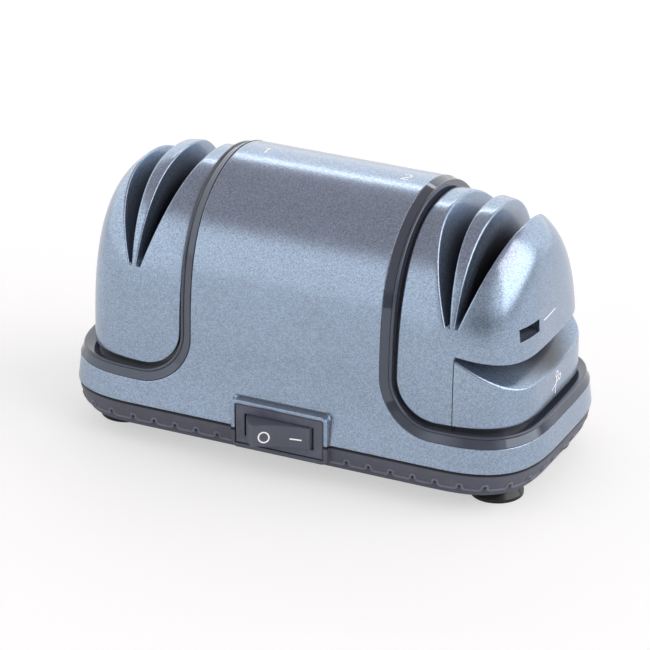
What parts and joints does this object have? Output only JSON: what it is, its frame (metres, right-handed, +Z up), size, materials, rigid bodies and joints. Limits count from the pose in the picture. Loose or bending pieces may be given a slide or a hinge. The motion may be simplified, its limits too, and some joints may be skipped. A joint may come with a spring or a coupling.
{
  "type": "electric knife sharpener",
  "caption": "Electric sharpener for knives, scissors and screwdrivers, with a grinding wheel under slotted covers at each end of an arched housing and a rocker switch in front.",
  "frame": {"origin": "centre of the bounding box at the level of the feet", "axes": "+X along the body to the end with the scissor ramp, +Y to the back, +Z up"},
  "size_m": [0.17, 0.0918, 0.0962],
  "materials": {
    "metallic_paint": "satin metallic",
    "glossy_dark": "glossy",
    "dark_plastic": "fine matte texture",
    "foot_rubber": "smooth",
    "switch_plastic": "matte",
    "contact_brass": "plain",
    "bush_rubber": "matte",
    "screw_steel": "zinc plated",
    "motor_steel": "zinc plated",
    "bearing_bronze": "sintered",
    "ferrite": "matte",
    "carbon": "matte",
    "ground_steel": "ground",
    "lamination_steel": "stacked",
    "copper": "enamelled",
    "coarse_grit": "coarse abrasive",
    "fine_grit": "fine abrasive",
    "hub_alloy": "turned",
    "nut_steel": "zinc plated",
    "board_resin": "plain",
    "black_epoxy": "plain"
  },
  "bodies": {
    "body": {"main_housing": "metallic_paint", "left_cover": "metallic_paint", "right_cover": "metallic_paint", "scissor_guide": "metallic_paint", "left_trim": "glossy_dark", "right_trim": "glossy_dark", "base_tray": "dark_plastic", "foot_front_left": "foot_rubber", "foot_front_right": "foot_rubber", "foot_rear_left": "foot_rubber", "foot_rear_right": "foot_rubber", "switch_body": "switch_plastic", "switch_terminals": "contact_brass", "cable_bush": "bush_rubber", "housing_screws": "screw_steel", "cover_screws": "screw_steel", "clamp_screws": "screw_steel", "motor_can": "motor_steel", "left_end_cap": "motor_steel", "right_end_cap": "motor_steel", "motor_clamp": "motor_steel", "left_bush": "bearing_bronze", "right_bush": "bearing_bronze", "front_magnet": "ferrite", "rear_magnet": "ferrite", "motor_brushes": "carbon", "rectifier_board": "board_resin", "board_components": "black_epoxy"},
    "rocker": {"switch_rocker": "switch_plastic"},
    "rotor": {"motor_shaft": "ground_steel", "armature_core": "lamination_steel", "armature_windings": "copper", "commutator": "copper", "coarse_wheel": "coarse_grit", "fine_wheel": "fine_grit", "left_wheel_hub": "hub_alloy", "right_wheel_hub": "hub_alloy", "left_wheel_washer": "nut_steel", "right_wheel_washer": "nut_steel", "left_wheel_nut": "nut_steel", "right_wheel_nut": "nut_steel"}
  },
  "joints": [
    {"name": "rocker_turn", "type": "hinge", "parent": "body", "child": "rocker", "pos_m": [0, -0.03558, 0.017], "axis": [0, 0, 1], "range_deg": [-36, 0]},
    {"name": "rotor_spin", "type": "hinge", "parent": "body", "child": "rotor", "pos_m": [0, 0.00292, 0.04], "axis": [1, 0, 0], "continuous": true}
  ]
}
